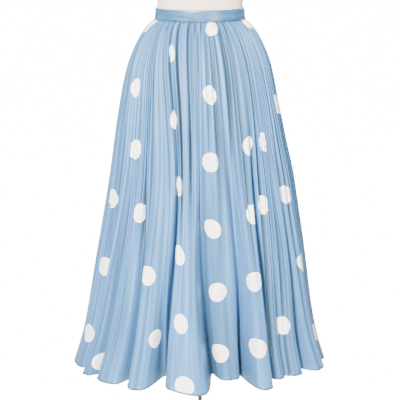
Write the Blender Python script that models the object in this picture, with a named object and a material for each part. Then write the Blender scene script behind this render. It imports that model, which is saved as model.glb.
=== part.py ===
"""Pleated maxi skirt, worn by a limbless dress form on a pole stand.

The skirt is a half circle of thin crinkled satin in three panels, a front and two
backs, pressed into narrow pleats and sewn to a firm waistband that closes at the centre
back with a concealed zip. Sizes are in metres. +Z is up, the front faces -Y, and the
origin is on the floor under the pole.
"""

import math

import bmesh
import bpy
import numpy as np
from mathutils import Matrix

# Driving dimensions
GAP = 0.0003  # left between pieces that are sewn or rest on each other
CLOTH = 0.0011  # thickness of the pleated cloth
HEM_Z = 0.205  # lowest point of the hem above the floor
SEAM_Z = 1.141  # waist seam above the floor, at the side seams
BAND_HEIGHT = 0.030
BAND_CLOTH = 0.0030  # folded and interfaced band
BAND_FIT = 0.0004  # room between the band and the form
WAIST_TILT = 0.085  # the waistline rises towards the back by this slope
PLEATS = 52
COLUMNS_PER_PLEAT = 4
MITRE_LIMIT = 0.42  # a crease's mitre is no longer than the wall's thickness over this

BASE_RADIUS = 0.180
BASE_THICK = 0.008
COLLAR_RADIUS = 0.020
COLLAR_HEIGHT = 0.030
POLE_RADIUS = 0.006
FLANGE_RADIUS = 0.045
FLANGE_THICK = 0.004
SLEEVE_RADIUS = 0.012
SLEEVE_LENGTH = 0.030

# The outline of the skirt, a row for each height.
# fall: share of the way from waist seam to hem; width, depth: half of the outline's size
# from the front and from the side; pleat: half of the depth of a pleat.
OUTLINE_COLUMNS = ("fall", "width", "depth", "pleat")
OUTLINE = (
    (0.000, 0.1206, 0.0872, 0.0009),
    (0.018, 0.1400, 0.1060, 0.0026),
    (0.065, 0.1690, 0.1340, 0.0036),
    (0.135, 0.1955, 0.1590, 0.0044),
    (0.255, 0.2190, 0.1850, 0.0050),
    (0.445, 0.2440, 0.2120, 0.0052),
    (0.655, 0.2745, 0.2420, 0.0046),
    (0.895, 0.3130, 0.2830, 0.0034),
    (1.000, 0.3420, 0.3080, 0.0028),
)
RINGS = (0.0, 0.018, 0.065, 0.135, 0.245, 0.375, 0.515, 0.660, 0.800, 0.920, 1.0)
HEM_RISE = 0.10  # the hem of a valley hangs higher by this share of its inset

# The large folds, a row for each valley, in order round the skirt. Azimuths are in
# degrees from the centre front, positive towards +X.
# hem, mid, upper, waist: the valley's azimuth at the hem, and higher up at the shares of
# the fall in PATH_FALLS; inset: how far the valley lies inside the outline at the hem;
# spread: half of its width in degrees at the hem; lobe: how far the lobe that follows it
# lies inside the outline; start: share of the fall at which the valley begins.
FOLD_COLUMNS = ("hem", "mid", "upper", "waist", "inset", "spread", "lobe", "start")
FOLDS = (
    (-171.0, -170.5, -170.0, -171.0, 0.078, 3.0, 0.004, 0.30),
    (-154.0, -157.0, -158.0, -157.0, 0.095, 2.8, 0.022, 0.22),
    (-139.0, -137.0, -136.0, -136.0, 0.060, 3.0, 0.000, 0.35),
    (-122.0, -124.0, -125.0, -124.0, 0.100, 2.8, 0.012, 0.16),
    (-106.0, -102.0, -101.0, -104.0, 0.055, 3.0, 0.000, 0.40),
    (-70.0, -60.0, -60.0, -71.0, 0.050, 2.6, 0.000, 0.40),
    (-57.5, -48.5, -50.0, -60.0, 0.062, 2.0, 0.004, 0.30),
    (-41.5, -36.0, -36.5, -49.0, 0.048, 2.4, 0.006, 0.35),
    (-22.0, -25.0, -23.4, -39.0, 0.090, 1.9, 0.080, 0.30),
    (-17.4, -15.4, -18.6, -33.0, 0.105, 1.9, 0.000, 0.06),
    (7.0, 0.8, 0.0, -1.0, 0.078, 1.9, 0.066, 0.26),
    (22.6, 21.2, 18.2, 16.0, 0.090, 1.9, 0.000, 0.20),
    (37.0, 37.6, 36.6, 36.0, 0.108, 1.9, 0.040, 0.16),
    (49.5, 48.6, 46.5, 47.0, 0.046, 2.4, 0.036, 0.50),
    (65.0, 59.0, 56.0, 58.0, 0.085, 2.4, 0.000, 0.28),
    (84.0, 77.0, 75.0, 76.0, 0.030, 3.0, 0.000, 0.45),
    (101.0, 98.0, 97.0, 98.0, 0.080, 3.0, 0.010, 0.25),
    (117.0, 120.0, 120.0, 119.0, 0.060, 3.0, 0.000, 0.38),
    (133.0, 130.5, 130.0, 131.0, 0.098, 2.8, 0.020, 0.20),
    (149.0, 151.5, 152.0, 151.0, 0.070, 3.0, 0.000, 0.32),
    (166.0, 165.0, 164.5, 166.0, 0.060, 3.0, 0.000, 0.34),
)
PATH_COLUMNS = ("waist", "upper", "mid", "hem")
PATH_FALLS = (0.0, 0.25, 0.55, 1.0)
FOLD_FULL = 1.25  # share of the fall at which a fold would reach its full depth
FOLD_TAPER = 0.2  # a valley is narrower at the waist by this share

# The dress form, a row for each height: half width, half depth, and how far its middle
# lies in front of the pole.
FORM_COLUMNS = ("height", "width", "depth", "forward")
FORM = (
    (0.925, 0.1320, 0.0880, 0.000),
    (0.932, 0.1480, 0.1020, 0.000),
    (0.955, 0.1580, 0.1120, 0.000),
    (0.995, 0.1600, 0.1150, 0.000),
    (1.045, 0.1490, 0.1080, 0.000),
    (1.090, 0.1300, 0.0950, 0.000),
    (1.123, 0.1190, 0.0848, 0.000),
    (1.183, 0.1130, 0.0806, 0.000),
    (1.210, 0.1185, 0.0850, 0.001),
    (1.255, 0.1310, 0.0960, 0.004),
    (1.315, 0.1430, 0.1090, 0.009),
    (1.375, 0.1500, 0.1130, 0.010),
    (1.445, 0.1600, 0.1020, 0.004),
    (1.510, 0.1680, 0.0840, 0.000),
    (1.545, 0.1560, 0.0720, -0.002),
    (1.570, 0.1250, 0.0640, -0.003),
    (1.587, 0.0880, 0.0580, -0.003),
    (1.601, 0.0640, 0.0540, -0.003),
    (1.660, 0.0540, 0.0500, -0.003),
)
FORM_COLUMN_COUNT = 44
BAND_COLUMN_COUNT = 88
NECK_CAP_THICK = 0.010

# Concealed zip: a slider on the band with a hinged teardrop pull.
SLIDER_BELOW_TOP = 0.0075
SLIDER_WIDTH = 0.0056
SLIDER_LENGTH = 0.0090
SLIDER_THICK = 0.0014
BRIDGE_WIDTH = 0.0020
BRIDGE_HALF_LENGTH = 0.0032
BRIDGE_BAR = 0.0011
BRIDGE_REACH = 0.0033
SLIDER_CORNER = 0.0012
PULL_THICK = 0.0009
PULL_LENGTH = 0.0170
PULL_PIVOT_OUT = 0.0011
PULL_BAR_HALF = 0.0006
PULL_EYE_LENGTH = 0.0046
PULL_EYE_HALF = 0.0014
PULL_HALF_WIDTHS = ((0.0, 0.0026), (0.0062, 0.0024), (0.0100, 0.0021), (0.0135, 0.0028))
PULL_TIP_RADIUS = 0.0028


def clear_scene():
    for thing in list(bpy.data.objects):
        bpy.data.objects.remove(thing)


def material(name, colour, roughness, metallic=0.0):
    made = bpy.data.materials.new(name)
    made.use_nodes = True
    shader = made.node_tree.nodes["Principled BSDF"]
    shader.inputs["Base Color"].default_value = (*colour, 1.0)
    shader.inputs["Roughness"].default_value = roughness
    shader.inputs["Metallic"].default_value = metallic
    return made


def column(table, names, name):
    return np.array([row[names.index(name)] for row in table], float)


def smooth_through(at, xs, ys):
    """A smooth curve through the rows of a table, with no overshoot between them."""
    steps = np.diff(xs)
    slopes = np.diff(ys) / steps
    tangents = np.zeros(len(xs))
    tangents[0], tangents[-1] = slopes[0], slopes[-1]
    for i in range(1, len(xs) - 1):
        if slopes[i - 1] * slopes[i] > 0:
            first = 2 * steps[i] + steps[i - 1]
            second = steps[i] + 2 * steps[i - 1]
            tangents[i] = (first + second) / (first / slopes[i - 1] + second / slopes[i])
    at = np.asarray(at, float)
    i = np.clip(np.searchsorted(xs, at, side="right") - 1, 0, len(steps) - 1)
    h = steps[i]
    t = (at - xs[i]) / h
    return (
        (2 * t**3 - 3 * t**2 + 1) * ys[i]
        + (t**3 - 2 * t**2 + t) * h * tangents[i]
        + (3 * t**2 - 2 * t**3) * ys[i + 1]
        + (t**3 - t**2) * h * tangents[i + 1]
    )


def ramp(x):
    """0 below 0, 1 above 1, smooth between."""
    x = np.clip(x, 0.0, 1.0)
    return x * x * (3 - 2 * x)


def outline(fall, name):
    xs = column(OUTLINE, OUTLINE_COLUMNS, "fall")
    return smooth_through(fall, xs, column(OUTLINE, OUTLINE_COLUMNS, name))


def form_section(height, name):
    heights = column(FORM, FORM_COLUMNS, "height")
    return np.interp(height, heights, column(FORM, FORM_COLUMNS, name))


def azimuth(hem_azimuth, fall):
    """Where a pleat that meets the hem at hem_azimuth runs at a share of the fall."""
    hems = column(FOLDS, FOLD_COLUMNS, "hem")
    total = 0.0
    for name, at in zip(PATH_COLUMNS, PATH_FALLS):
        shift = np.interp(hem_azimuth, hems, column(FOLDS, FOLD_COLUMNS, name) - hems, period=360)
        # the cubic that is 1 at this share of the fall and 0 at the other three
        share = np.ones(np.shape(fall))
        for other in PATH_FALLS:
            if other != at:
                share = share * (fall - other) / (at - other)
        total = total + share * (hem_azimuth + shift)
    return total


def fold_width(spread, fall):
    """Half of a valley's width in degrees."""
    return spread * (1 - FOLD_TAPER * (1 - fall))


def fold_growth(start, fall):
    """How much of its full depth a fold has reached."""
    grown = ramp((fall - start) / (FOLD_FULL - start)) / ramp(1 / FOLD_FULL)
    return np.minimum(grown, 1.0)


def fold_inset(hem_azimuth, fall):
    """How far the large folds lie inside the outline."""
    hem, inset, spread, lobe, start = (
        column(FOLDS, FOLD_COLUMNS, name) for name in ("hem", "inset", "spread", "lobe", "start")
    )
    total = np.zeros(np.broadcast(hem_azimuth, fall).shape)
    for i in range(len(FOLDS)):
        after = (i + 1) % len(FOLDS)
        growth = fold_growth(start[i], fall)
        away = (hem_azimuth - hem[i] + 180) % 360 - 180
        width = fold_width(spread[i], fall)
        # the valley itself, a narrow dip below the lobes on its two sides
        dip = inset[i] - (lobe[i] + lobe[i - 1]) / 2
        total = total + growth * dip * np.exp(-((away / width) ** 2))
        # the lobe that follows it, flat between two smooth steps
        room = (hem[after] - hem[i]) % 360
        begun = ramp((away / width + 1) / 2)
        ended = ramp(((away - room) / fold_width(spread[after], fall) + 1) / 2)
        total = total + growth * lobe[i] * begun * (1 - ended) * (away > -room)
    return total


def seam_height(around):
    """Height of the waist seam at an azimuth in degrees."""
    depth = outline(0.0, "depth")
    return SEAM_Z - WAIST_TILT * depth * np.cos(np.radians(around))


def skirt_points(hem_azimuth, fall):
    """Points in the middle of the cloth."""
    around = np.radians(azimuth(hem_azimuth, fall))
    width, depth = outline(fall, "width"), outline(fall, "depth")
    pleat = outline(fall, "pleat")
    wave = np.cos(np.radians(hem_azimuth) * PLEATS)
    inset = fold_inset(hem_azimuth, fall)
    out = pleat * (wave - 1) - inset
    normal_x, normal_y = np.sin(around) / width, -np.cos(around) / depth
    size = np.hypot(normal_x, normal_y)
    x = width * np.sin(around) + out * normal_x / size
    y = -depth * np.cos(around) + out * normal_y / size
    top = seam_height(azimuth(hem_azimuth, 0.0)) - GAP
    bottom = HEM_Z + HEM_RISE * fold_inset(hem_azimuth, 1.0)
    z = top + (bottom - top) * fall
    return np.stack([x, y, z], -1)


def unit(vectors):
    return vectors / np.maximum(np.linalg.norm(vectors, axis=-1, keepdims=True), 1e-12)


def wall_offsets(points, before, after, thick):
    """How far to move each point of a sheet to one face of its wall.

    before and after are the columns next to the first and last one. A crease gets a
    mitre, so that the wall keeps its thickness on both sides of it.
    """
    padded = np.concatenate([before[:, None], points, after[:, None]], 1)
    across = unit(padded[:, 1:] - padded[:, :-1])
    down = unit(np.gradient(points, axis=0))
    left = unit(np.cross(down, across[:, :-1]))
    right = unit(np.cross(down, across[:, 1:]))
    normal = unit(left + right)
    mitre = np.maximum((normal * left).sum(-1, keepdims=True), MITRE_LIMIT)
    offsets = normal / mitre * thick / 2
    offsets[0, :, 2] = 0.0
    offsets[-1, :, 2] = 0.0
    return offsets


def add_object(name, points, faces, look, smooth_angle=40.0):
    mesh = bpy.data.meshes.new(name)
    mesh.from_pydata([tuple(p) for p in points], [], faces)
    mesh.update()
    made = bpy.data.objects.new(name, mesh)
    bpy.context.scene.collection.objects.link(made)
    mesh.materials.append(look)
    mesh.shade_smooth()
    mesh.set_sharp_from_angle(angle=math.radians(smooth_angle))
    return made


def two_triangles(a, b, c, d):
    return [(a, b, c), (a, c, d)]


def skirt_panel(name, first, last, look):
    """One panel of pleated cloth, from column first to column last of the hem."""
    step = 360.0 / (PLEATS * COLUMNS_PER_PLEAT)
    labels = np.arange(first, last + 1) * step
    fall = np.array(RINGS)[:, None]
    points = skirt_points(labels[None, :], fall)
    before = skirt_points(np.array([[labels[0] - step]]), fall)[:, 0]
    after = skirt_points(np.array([[labels[-1] + step]]), fall)[:, 0]
    offsets = wall_offsets(points, before, after, CLOTH)
    # both side edges draw back by half of the seam gap
    points[:, 0] += unit(points[:, 1] - points[:, 0]) * GAP / 2
    points[:, -1] += unit(points[:, -2] - points[:, -1]) * GAP / 2
    rows, columns = points.shape[:2]
    outer = (points + offsets).reshape(-1, 3)
    inner = (points - offsets).reshape(-1, 3)
    count = rows * columns
    faces = []
    for r in range(rows - 1):
        for c in range(columns - 1):
            a, b = r * columns + c, r * columns + c + 1
            d, e = a + columns, b + columns
            faces += two_triangles(a, d, e, b)
            faces += [tuple(k + count for k in reversed(t)) for t in two_triangles(a, d, e, b)]
    for c in range(columns - 1):
        top, bottom = c, (rows - 1) * columns + c
        faces += two_triangles(top, top + 1, top + 1 + count, top + count)
        faces += two_triangles(bottom + 1, bottom, bottom + count, bottom + 1 + count)
    for r in range(rows - 1):
        near, far = r * columns, r * columns + columns - 1
        faces += two_triangles(near + columns, near, near + count, near + columns + count)
        faces += two_triangles(far, far + columns, far + columns + count, far + count)
    return add_object(name, np.concatenate([outer, inner]), faces, look)


def ellipse_ring(width, depth, forward, height, azimuths):
    around = np.radians(azimuths)
    return np.stack(
        [
            width * np.sin(around),
            -depth * np.cos(around) - forward,
            np.broadcast_to(height, around.shape),
        ],
        -1,
    )


def waistband(look):
    """A flat band round the waist whose two ends meet at the centre back."""
    slit = math.degrees(GAP / 2 / outline(0.0, "depth"))
    azimuths = np.linspace(-180 + slit, 180 - slit, BAND_COLUMN_COUNT + 1)
    rows = []
    for thick, share in ((1.0, 0.0), (1.0, 0.5), (1.0, 1.0), (0.0, 1.0), (0.0, 0.5), (0.0, 0.0)):
        height = seam_height(azimuths) + share * BAND_HEIGHT
        grown = BAND_FIT + thick * BAND_CLOTH
        width = form_section(height, "width") + grown
        depth = form_section(height, "depth") + grown
        rows.append(ellipse_ring(width, depth, 0.0, height, azimuths))
    points = np.array(rows)
    count, columns = points.shape[:2]
    faces = []
    for r in range(count):
        for c in range(columns - 1):
            a, b = r * columns + c, ((r + 1) % count) * columns + c
            faces += two_triangles(a, a + 1, b + 1, b)
    first = [r * columns for r in range(count)]
    last = [r * columns + columns - 1 for r in range(count)]
    for end, order in ((first, 1), (last, -1)):
        for quad in ((0, 1, 4, 5), (1, 2, 3, 4)):
            a, b, c, d = (end[k] for k in quad)
            faces += two_triangles(a, b, c, d) if order > 0 else two_triangles(d, c, b, a)
    return add_object("waistband", points.reshape(-1, 3), faces, look)


def form_torso(look):
    """The dress form, from its flat foot at the hips to the top of its neck."""
    azimuths = np.arange(FORM_COLUMN_COUNT) * 360.0 / FORM_COLUMN_COUNT
    listed = column(FORM, FORM_COLUMNS, "height")
    rings = [
        ellipse_ring(*(float(form_section(z, n)) for n in ("width", "depth", "forward")), z, azimuths)
        for z in listed
    ]
    points = np.concatenate(rings)
    n = FORM_COLUMN_COUNT
    faces = []
    for r in range(len(rings) - 1):
        for c in range(n):
            a, b = r * n + c, r * n + (c + 1) % n
            faces.append((a, b, b + n, a + n))
    faces.append(tuple(range(n - 1, -1, -1)))
    faces.append(tuple((len(rings) - 1) * n + c for c in range(n)))
    return add_object("form_torso", points, faces, look)


def turned(name, profile, look, steps=32):
    """A solid turned about the pole's axis. profile is (radius, height), outer side, top to bottom."""
    mesh = bpy.data.meshes.new(name)
    shape = bmesh.new()
    line = [shape.verts.new((radius, 0.0, height)) for radius, height in profile]
    edges = [shape.edges.new(pair) for pair in zip(line, line[1:])]
    bmesh.ops.spin(
        shape,
        geom=line + edges,
        cent=(0, 0, 0),
        axis=(0, 0, 1),
        angle=2 * math.pi,
        steps=steps,
        use_merge=True,
    )
    bmesh.ops.remove_doubles(shape, verts=shape.verts, dist=1e-6)
    bmesh.ops.recalc_face_normals(shape, faces=shape.faces)
    shape.to_mesh(mesh)
    shape.free()
    made = bpy.data.objects.new(name, mesh)
    bpy.context.scene.collection.objects.link(made)
    mesh.materials.append(look)
    mesh.shade_smooth()
    mesh.set_sharp_from_angle(angle=math.radians(35))
    return made


def stand(metal):
    """Weighted base with its collar, the pole, and the flange that holds the form."""
    edge = 0.002
    turned(
        "stand_base",
        [
            (0.0, BASE_THICK + COLLAR_HEIGHT),
            (COLLAR_RADIUS - edge, BASE_THICK + COLLAR_HEIGHT),
            (COLLAR_RADIUS, BASE_THICK + COLLAR_HEIGHT - edge),
            (COLLAR_RADIUS, BASE_THICK + 2 * edge),
            (COLLAR_RADIUS + 2 * edge, BASE_THICK),
            (BASE_RADIUS - edge, BASE_THICK),
            (BASE_RADIUS, BASE_THICK - edge),
            (BASE_RADIUS, 0.0),
            (0.0, 0.0),
        ],
        metal,
        steps=48,
    )
    form_foot = FORM[0][0]
    flange_top = form_foot - GAP
    flange_foot = flange_top - FLANGE_THICK - SLEEVE_LENGTH
    pole_foot = BASE_THICK + COLLAR_HEIGHT + GAP
    turned(
        "stand_pole",
        [
            (0.0, flange_foot - GAP),
            (POLE_RADIUS, flange_foot - GAP),
            (POLE_RADIUS, pole_foot),
            (0.0, pole_foot),
        ],
        metal,
        steps=24,
    )
    turned(
        "stand_flange",
        [
            (0.0, flange_top),
            (FLANGE_RADIUS, flange_top),
            (FLANGE_RADIUS, flange_top - FLANGE_THICK),
            (SLEEVE_RADIUS + edge, flange_top - FLANGE_THICK),
            (SLEEVE_RADIUS, flange_top - FLANGE_THICK - edge),
            (SLEEVE_RADIUS, flange_foot),
            (0.0, flange_foot),
        ],
        metal,
    )


def neck_cap(look):
    """Turned lid on the neck of the form, as oval as the neck."""
    height, width, depth, forward = FORM[-1]
    foot, edge = height + GAP, 0.003
    cap = turned(
        "form_neck_cap",
        [
            (0.0, foot + NECK_CAP_THICK + edge),
            (width * 0.55, foot + NECK_CAP_THICK + edge * 0.6),
            (width - edge, foot + NECK_CAP_THICK),
            (width + edge / 2, foot + NECK_CAP_THICK - edge),
            (width + edge / 2, foot + edge / 2),
            (width - edge / 2, foot),
            (0.0, foot),
        ],
        look,
    )
    oval = Matrix.Diagonal((1.0, depth / width, 1.0, 1.0))
    cap.data.transform(Matrix.Translation((0.0, -forward, 0.0)) @ oval)


def extruded_outline(name, outer, hole, half_thick, look, plane):
    """A closed outline with one hole, both of the same number of points, made into a plate.

    plane turns (u, w, t) into a point: u and w lie in the outline, t across the plate.
    """
    n = len(outer)
    points = [plane(u, w, t) for t in (-half_thick, half_thick) for ring in (outer, hole) for u, w in ring]
    faces = []
    for i in range(n):
        j = (i + 1) % n
        low_outer, low_hole, high_outer, high_hole = 0, n, 2 * n, 3 * n
        faces.append((low_outer + j, low_outer + i, low_hole + i, low_hole + j))
        faces.append((high_outer + i, high_outer + j, high_hole + j, high_hole + i))
        faces.append((low_outer + i, low_outer + j, high_outer + j, high_outer + i))
        faces.append((low_hole + j, low_hole + i, high_hole + i, high_hole + j))
    made = add_object(name, points, faces, look, smooth_angle=30.0)
    shape = bmesh.new()
    shape.from_mesh(made.data)
    bmesh.ops.recalc_face_normals(shape, faces=shape.faces)
    shape.to_mesh(made.data)
    shape.free()
    return made


def zip_slider_and_pull(metal):
    """The slider sits on the band astride the closed zip, and its pull hangs from a bridge."""
    centre_back = 180.0
    height = float(seam_height(centre_back)) + BAND_HEIGHT - SLIDER_BELOW_TOP
    reach = float(form_section(height, "depth")) + BAND_FIT + BAND_CLOTH
    probe = 0.002
    lean = math.atan2(
        float(form_section(height - probe, "depth") - form_section(height + probe, "depth")), 2 * probe
    )
    seat = bpy.data.objects.new("zip_seat", None)
    bpy.context.scene.collection.objects.link(seat)
    seat.location = (0.0, reach, height)
    seat.rotation_euler = (lean, 0.0, 0.0)

    # slider body, then its bridge, joined into one piece
    body = bpy.data.meshes.new("zip_slider")
    shape = bmesh.new()
    bmesh.ops.create_cube(shape, size=1.0)
    bmesh.ops.scale(shape, vec=(SLIDER_WIDTH, SLIDER_THICK, SLIDER_LENGTH), verts=shape.verts)
    bmesh.ops.translate(shape, vec=(0.0, GAP + SLIDER_THICK / 2, 0.0), verts=shape.verts)
    upright = [e for e in shape.edges if abs(e.verts[0].co.y - e.verts[1].co.y) > SLIDER_THICK / 2]
    bmesh.ops.bevel(shape, geom=upright, offset=SLIDER_CORNER, segments=3, affect="EDGES", profile=0.5)
    shape.to_mesh(body)
    shape.free()
    slider = bpy.data.objects.new("zip_slider", body)
    bpy.context.scene.collection.objects.link(slider)
    body.materials.append(metal)
    slider.parent = seat

    face = GAP + SLIDER_THICK
    sunk = SLIDER_THICK / 2
    half, bar, top = BRIDGE_HALF_LENGTH, BRIDGE_BAR, face + BRIDGE_REACH
    outer = [
        (half, face - sunk),
        (half, top - bar),
        (half - bar, top),
        (bar - half, top),
        (-half, top - bar),
        (-half, face - sunk),
    ]
    inside = half - bar
    hole = [
        (inside, face - sunk / 2),
        (inside, top - bar * 1.3),
        (inside * 0.8, top - bar),
        (-inside * 0.8, top - bar),
        (-inside, top - bar * 1.3),
        (-inside, face - sunk / 2),
    ]
    bridge = extruded_outline(
        "zip_bridge_tool", outer, hole, BRIDGE_WIDTH / 2, metal, lambda u, w, t: (t, w, u)
    )
    bridge.parent = seat
    bridge.hide_render = True
    bridge.display_type = "WIRE"
    joined = slider.modifiers.new("bridge", "BOOLEAN")
    joined.operation = "UNION"
    joined.object = bridge
    joined.solver = "EXACT"

    # the pull's origin is on the axis of the bar that turns under the bridge
    side = [(half_width, -down) for down, half_width in PULL_HALF_WIDTHS]
    tip_at = PULL_LENGTH - PULL_TIP_RADIUS
    tip = [
        (PULL_TIP_RADIUS * math.cos(a), -tip_at - PULL_TIP_RADIUS * math.sin(a))
        for a in np.linspace(0.0, math.pi, 7)
    ]
    left = [(-u, w) for u, w in reversed(side)]
    outer = [(side[0][0], PULL_BAR_HALF)] + side[1:-1] + tip + left[1:-1] + [(-side[0][0], PULL_BAR_HALF)]
    eye_half = (PULL_EYE_LENGTH - PULL_BAR_HALF) / 2
    hole = facing_points(outer, -PULL_BAR_HALF - eye_half, PULL_EYE_HALF, eye_half)
    pull = extruded_outline("zip_pull", outer, hole, PULL_THICK / 2, metal, lambda u, w, t: (u, t, w))
    pull.parent = seat
    pull.location = (0.0, face + PULL_PIVOT_OUT, 0.0)


def facing_points(outer, middle, half_width, half_height):
    """A rectangular eye round (0, middle), with a point facing each point of the outline."""
    points = []
    for u, w in outer:
        along, up = u, w - middle
        scale = min(half_width / max(abs(along), 1e-9), half_height / max(abs(up), 1e-9))
        points.append((along * scale, middle + up * scale))
    return points


def main():
    clear_scene()
    satin = material("satin", (0.44, 0.62, 0.80), 0.45)
    band_satin = material("band_satin", (0.27, 0.45, 0.60), 0.40)
    jersey = material("form_jersey", (0.82, 0.76, 0.70), 0.85)
    brass = material("aged_brass", (0.20, 0.19, 0.14), 0.40, 0.8)
    lacquer = material("zip_lacquer", (0.36, 0.52, 0.66), 0.30, 0.4)

    quarter = PLEATS * COLUMNS_PER_PLEAT // 4
    skirt_panel("skirt_front", -quarter, quarter, satin)
    skirt_panel("skirt_back_left", quarter, 2 * quarter, satin)
    skirt_panel("skirt_back_right", -2 * quarter, -quarter, satin)
    waistband(band_satin)
    zip_slider_and_pull(lacquer)
    form_torso(jersey)
    neck_cap(brass)
    stand(brass)


main()
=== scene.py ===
# %% [markdown]
# # A pleated maxi skirt on a dress form
#
# The skirt is light blue satin with large off-white dots. It was pressed into narrow pleats,
# which stay sharp near the waist and open into big, soft folds at the hem. A plain band
# closes it at the waist, and a limbless dress form on a pole wears it.
#
# This lesson dresses a plain model of it. The frame holds the real sizes, and each cell
# below adds one piece or one finish on top.

# %% Load the frame
import math

import bpy
import numpy as np
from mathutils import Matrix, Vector


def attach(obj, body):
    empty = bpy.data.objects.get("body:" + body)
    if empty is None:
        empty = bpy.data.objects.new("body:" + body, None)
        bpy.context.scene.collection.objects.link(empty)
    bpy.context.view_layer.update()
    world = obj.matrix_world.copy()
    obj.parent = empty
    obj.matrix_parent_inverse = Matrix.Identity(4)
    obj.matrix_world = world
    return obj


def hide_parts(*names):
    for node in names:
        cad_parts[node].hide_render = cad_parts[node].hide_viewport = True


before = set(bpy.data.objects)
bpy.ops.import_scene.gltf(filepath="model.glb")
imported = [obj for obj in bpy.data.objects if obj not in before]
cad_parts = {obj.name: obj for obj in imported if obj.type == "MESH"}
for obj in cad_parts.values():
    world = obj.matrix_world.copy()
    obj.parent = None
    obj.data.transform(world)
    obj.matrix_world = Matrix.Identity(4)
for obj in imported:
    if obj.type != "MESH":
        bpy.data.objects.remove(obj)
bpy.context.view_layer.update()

FORM_BODY = "dressed_form"

# %% [markdown]
# ## Camera
#
# The photo was taken from a little over the waist, about three metres away, with a long
# lens. A long lens from far away keeps both side edges of the skirt nearly parallel to the
# way that they really run. The camera looks down by ten degrees, so the front of the hem
# lies lower in the picture than its sides.

# %% Camera
SEAM_Z = 1.141
EYE_DISTANCE = 3.0
EYE_OVER_SEAM = 0.047
LOOK_DOWN = math.radians(10.1)
LENS_IN_PIXELS = 1119.0
PICTURE_WIDTH = 400
SENSOR = 36.0

camera_data = bpy.data.cameras.new("camera")
camera_data.sensor_width = SENSOR
camera_data.lens = LENS_IN_PIXELS / PICTURE_WIDTH * SENSOR
camera = bpy.data.objects.new("camera", camera_data)
camera.location = (0.0, -EYE_DISTANCE, SEAM_Z + EYE_OVER_SEAM)
camera.rotation_euler = (math.pi / 2 - LOOK_DOWN, 0.0, 0.0)
bpy.context.scene.collection.objects.link(camera)
bpy.context.scene.camera = camera
print("lens", round(camera_data.lens, 1), "mm")

# %% [markdown]
# ## Studio
#
# The photo is bright and nearly without shadows, as a product picture in a white studio.
# A pale world lights every side evenly, so that the deep folds darken partly because little
# of it reaches them; their valleys are also painted darker, as painted shade. Three soft lights
# give the satin its direction: a small, strong key high on the left, a weak fill on the right
# and a broad one behind. The floor and the world glow white for the camera alone, so that
# their glow doesn't wash out the cloth.

# %% Floor
def new_material(name):
    """A new material, its node tree and the shader in it."""
    made = bpy.data.materials.new(name)
    made.use_nodes = True
    return made, made.node_tree, made.node_tree.nodes["Principled BSDF"]


def math_node(tree, operation, first, second=None, third=None):
    node = tree.nodes.new("ShaderNodeMath")
    node.operation = operation
    for socket, value in zip(node.inputs, (first, second, third)):
        if isinstance(value, bpy.types.NodeSocket):
            tree.links.new(value, socket)
        elif value is not None:
            socket.default_value = value
    return node.outputs[0]


FLOOR_SIZE = 600.0
FLOOR_Z = -0.0005
PAPER_GREY = (0.45, 0.45, 0.45, 1.0)
PAPER_ROUGHNESS = 0.9
WHITE = (1.0, 1.0, 1.0, 1.0)
WHITE_GLOW = 16.0

bpy.ops.object.select_all(action="DESELECT")
bpy.ops.mesh.primitive_plane_add(size=FLOOR_SIZE, location=(0.0, 0.0, FLOOR_Z))
floor = bpy.context.object
floor.name = "floor"
paper, paper_tree, paper_shader = new_material("white_paper")
paper_shader.inputs["Base Color"].default_value = PAPER_GREY
paper_shader.inputs["Roughness"].default_value = PAPER_ROUGHNESS
paper_shader.inputs["Emission Color"].default_value = WHITE
for_camera = paper_tree.nodes.new("ShaderNodeLightPath").outputs["Is Camera Ray"]
glow = math_node(paper_tree, "MULTIPLY", for_camera, WHITE_GLOW)
paper_tree.links.new(glow, paper_shader.inputs["Emission Strength"])
floor.data.materials.append(paper)
print("floor", FLOOR_SIZE, "m wide")

# %% World and lights
AMBIENT = 0.65
world = bpy.data.worlds.new("white_studio")
world.use_nodes = True
world_tree = world.node_tree
backdrop = world_tree.nodes["Background"]
backdrop.inputs["Color"].default_value = WHITE
white = world_tree.nodes.new("ShaderNodeMapRange")
white.inputs["To Min"].default_value = AMBIENT
white.inputs["To Max"].default_value = WHITE_GLOW
for_camera = world_tree.nodes.new("ShaderNodeLightPath").outputs["Is Camera Ray"]
world_tree.links.new(for_camera, white.inputs["Value"])
world_tree.links.new(white.outputs[0], backdrop.inputs["Strength"])
bpy.context.scene.world = world

LIGHTS_AIM = Vector((0.0, 0.0, 0.73))
# each light's name, place, size and watts
LIGHTS = (
    ("key", (-1.00, -3.2, 2.9), (0.45, 0.65), 850),
    ("fill", (1.7, -3.3, 1.4), (0.6, 1.2), 130),
    ("back_light", (0.6, 3.0, 2.0), (2.0, 1.6), 240),
)
for light_name, light_place, light_size, watts in LIGHTS:
    light_data = bpy.data.lights.new(light_name, "AREA")
    light_data.shape = "RECTANGLE"
    light_data.size, light_data.size_y = light_size
    light_data.energy = watts
    light = bpy.data.objects.new(light_name, light_data)
    light.location = light_place
    light.rotation_euler = (LIGHTS_AIM - Vector(light_place)).to_track_quat("-Z", "Y").to_euler()
    bpy.context.scene.collection.objects.link(light)
    print(light_name, watts, "W")

# %% [markdown]
# ## The cloth's shape
#
# Cloth that is wider than the body has to go in and out, and that is what its folds do. A
# few deep folds carry the width of the hem, and narrow pressed pleats run between them. The
# shape is worked out from two coordinates: the azimuth at which a thread of the cloth meets
# the hem, in degrees from the centre front, and the share of its fall at which a point lies.
# Every row of the table of folds is one valley, with the lobe that follows it.

# %% Outline of the skirt
HEM_Z = 0.205
HEM_RISE = 0.10  # the hem hangs higher in a valley, by this share of how far it goes in
WAIST_TILT = 0.085  # rise of the waist seam for each metre towards the back
GAP = 0.0003  # between two pieces that are sewn together on the real skirt
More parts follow.
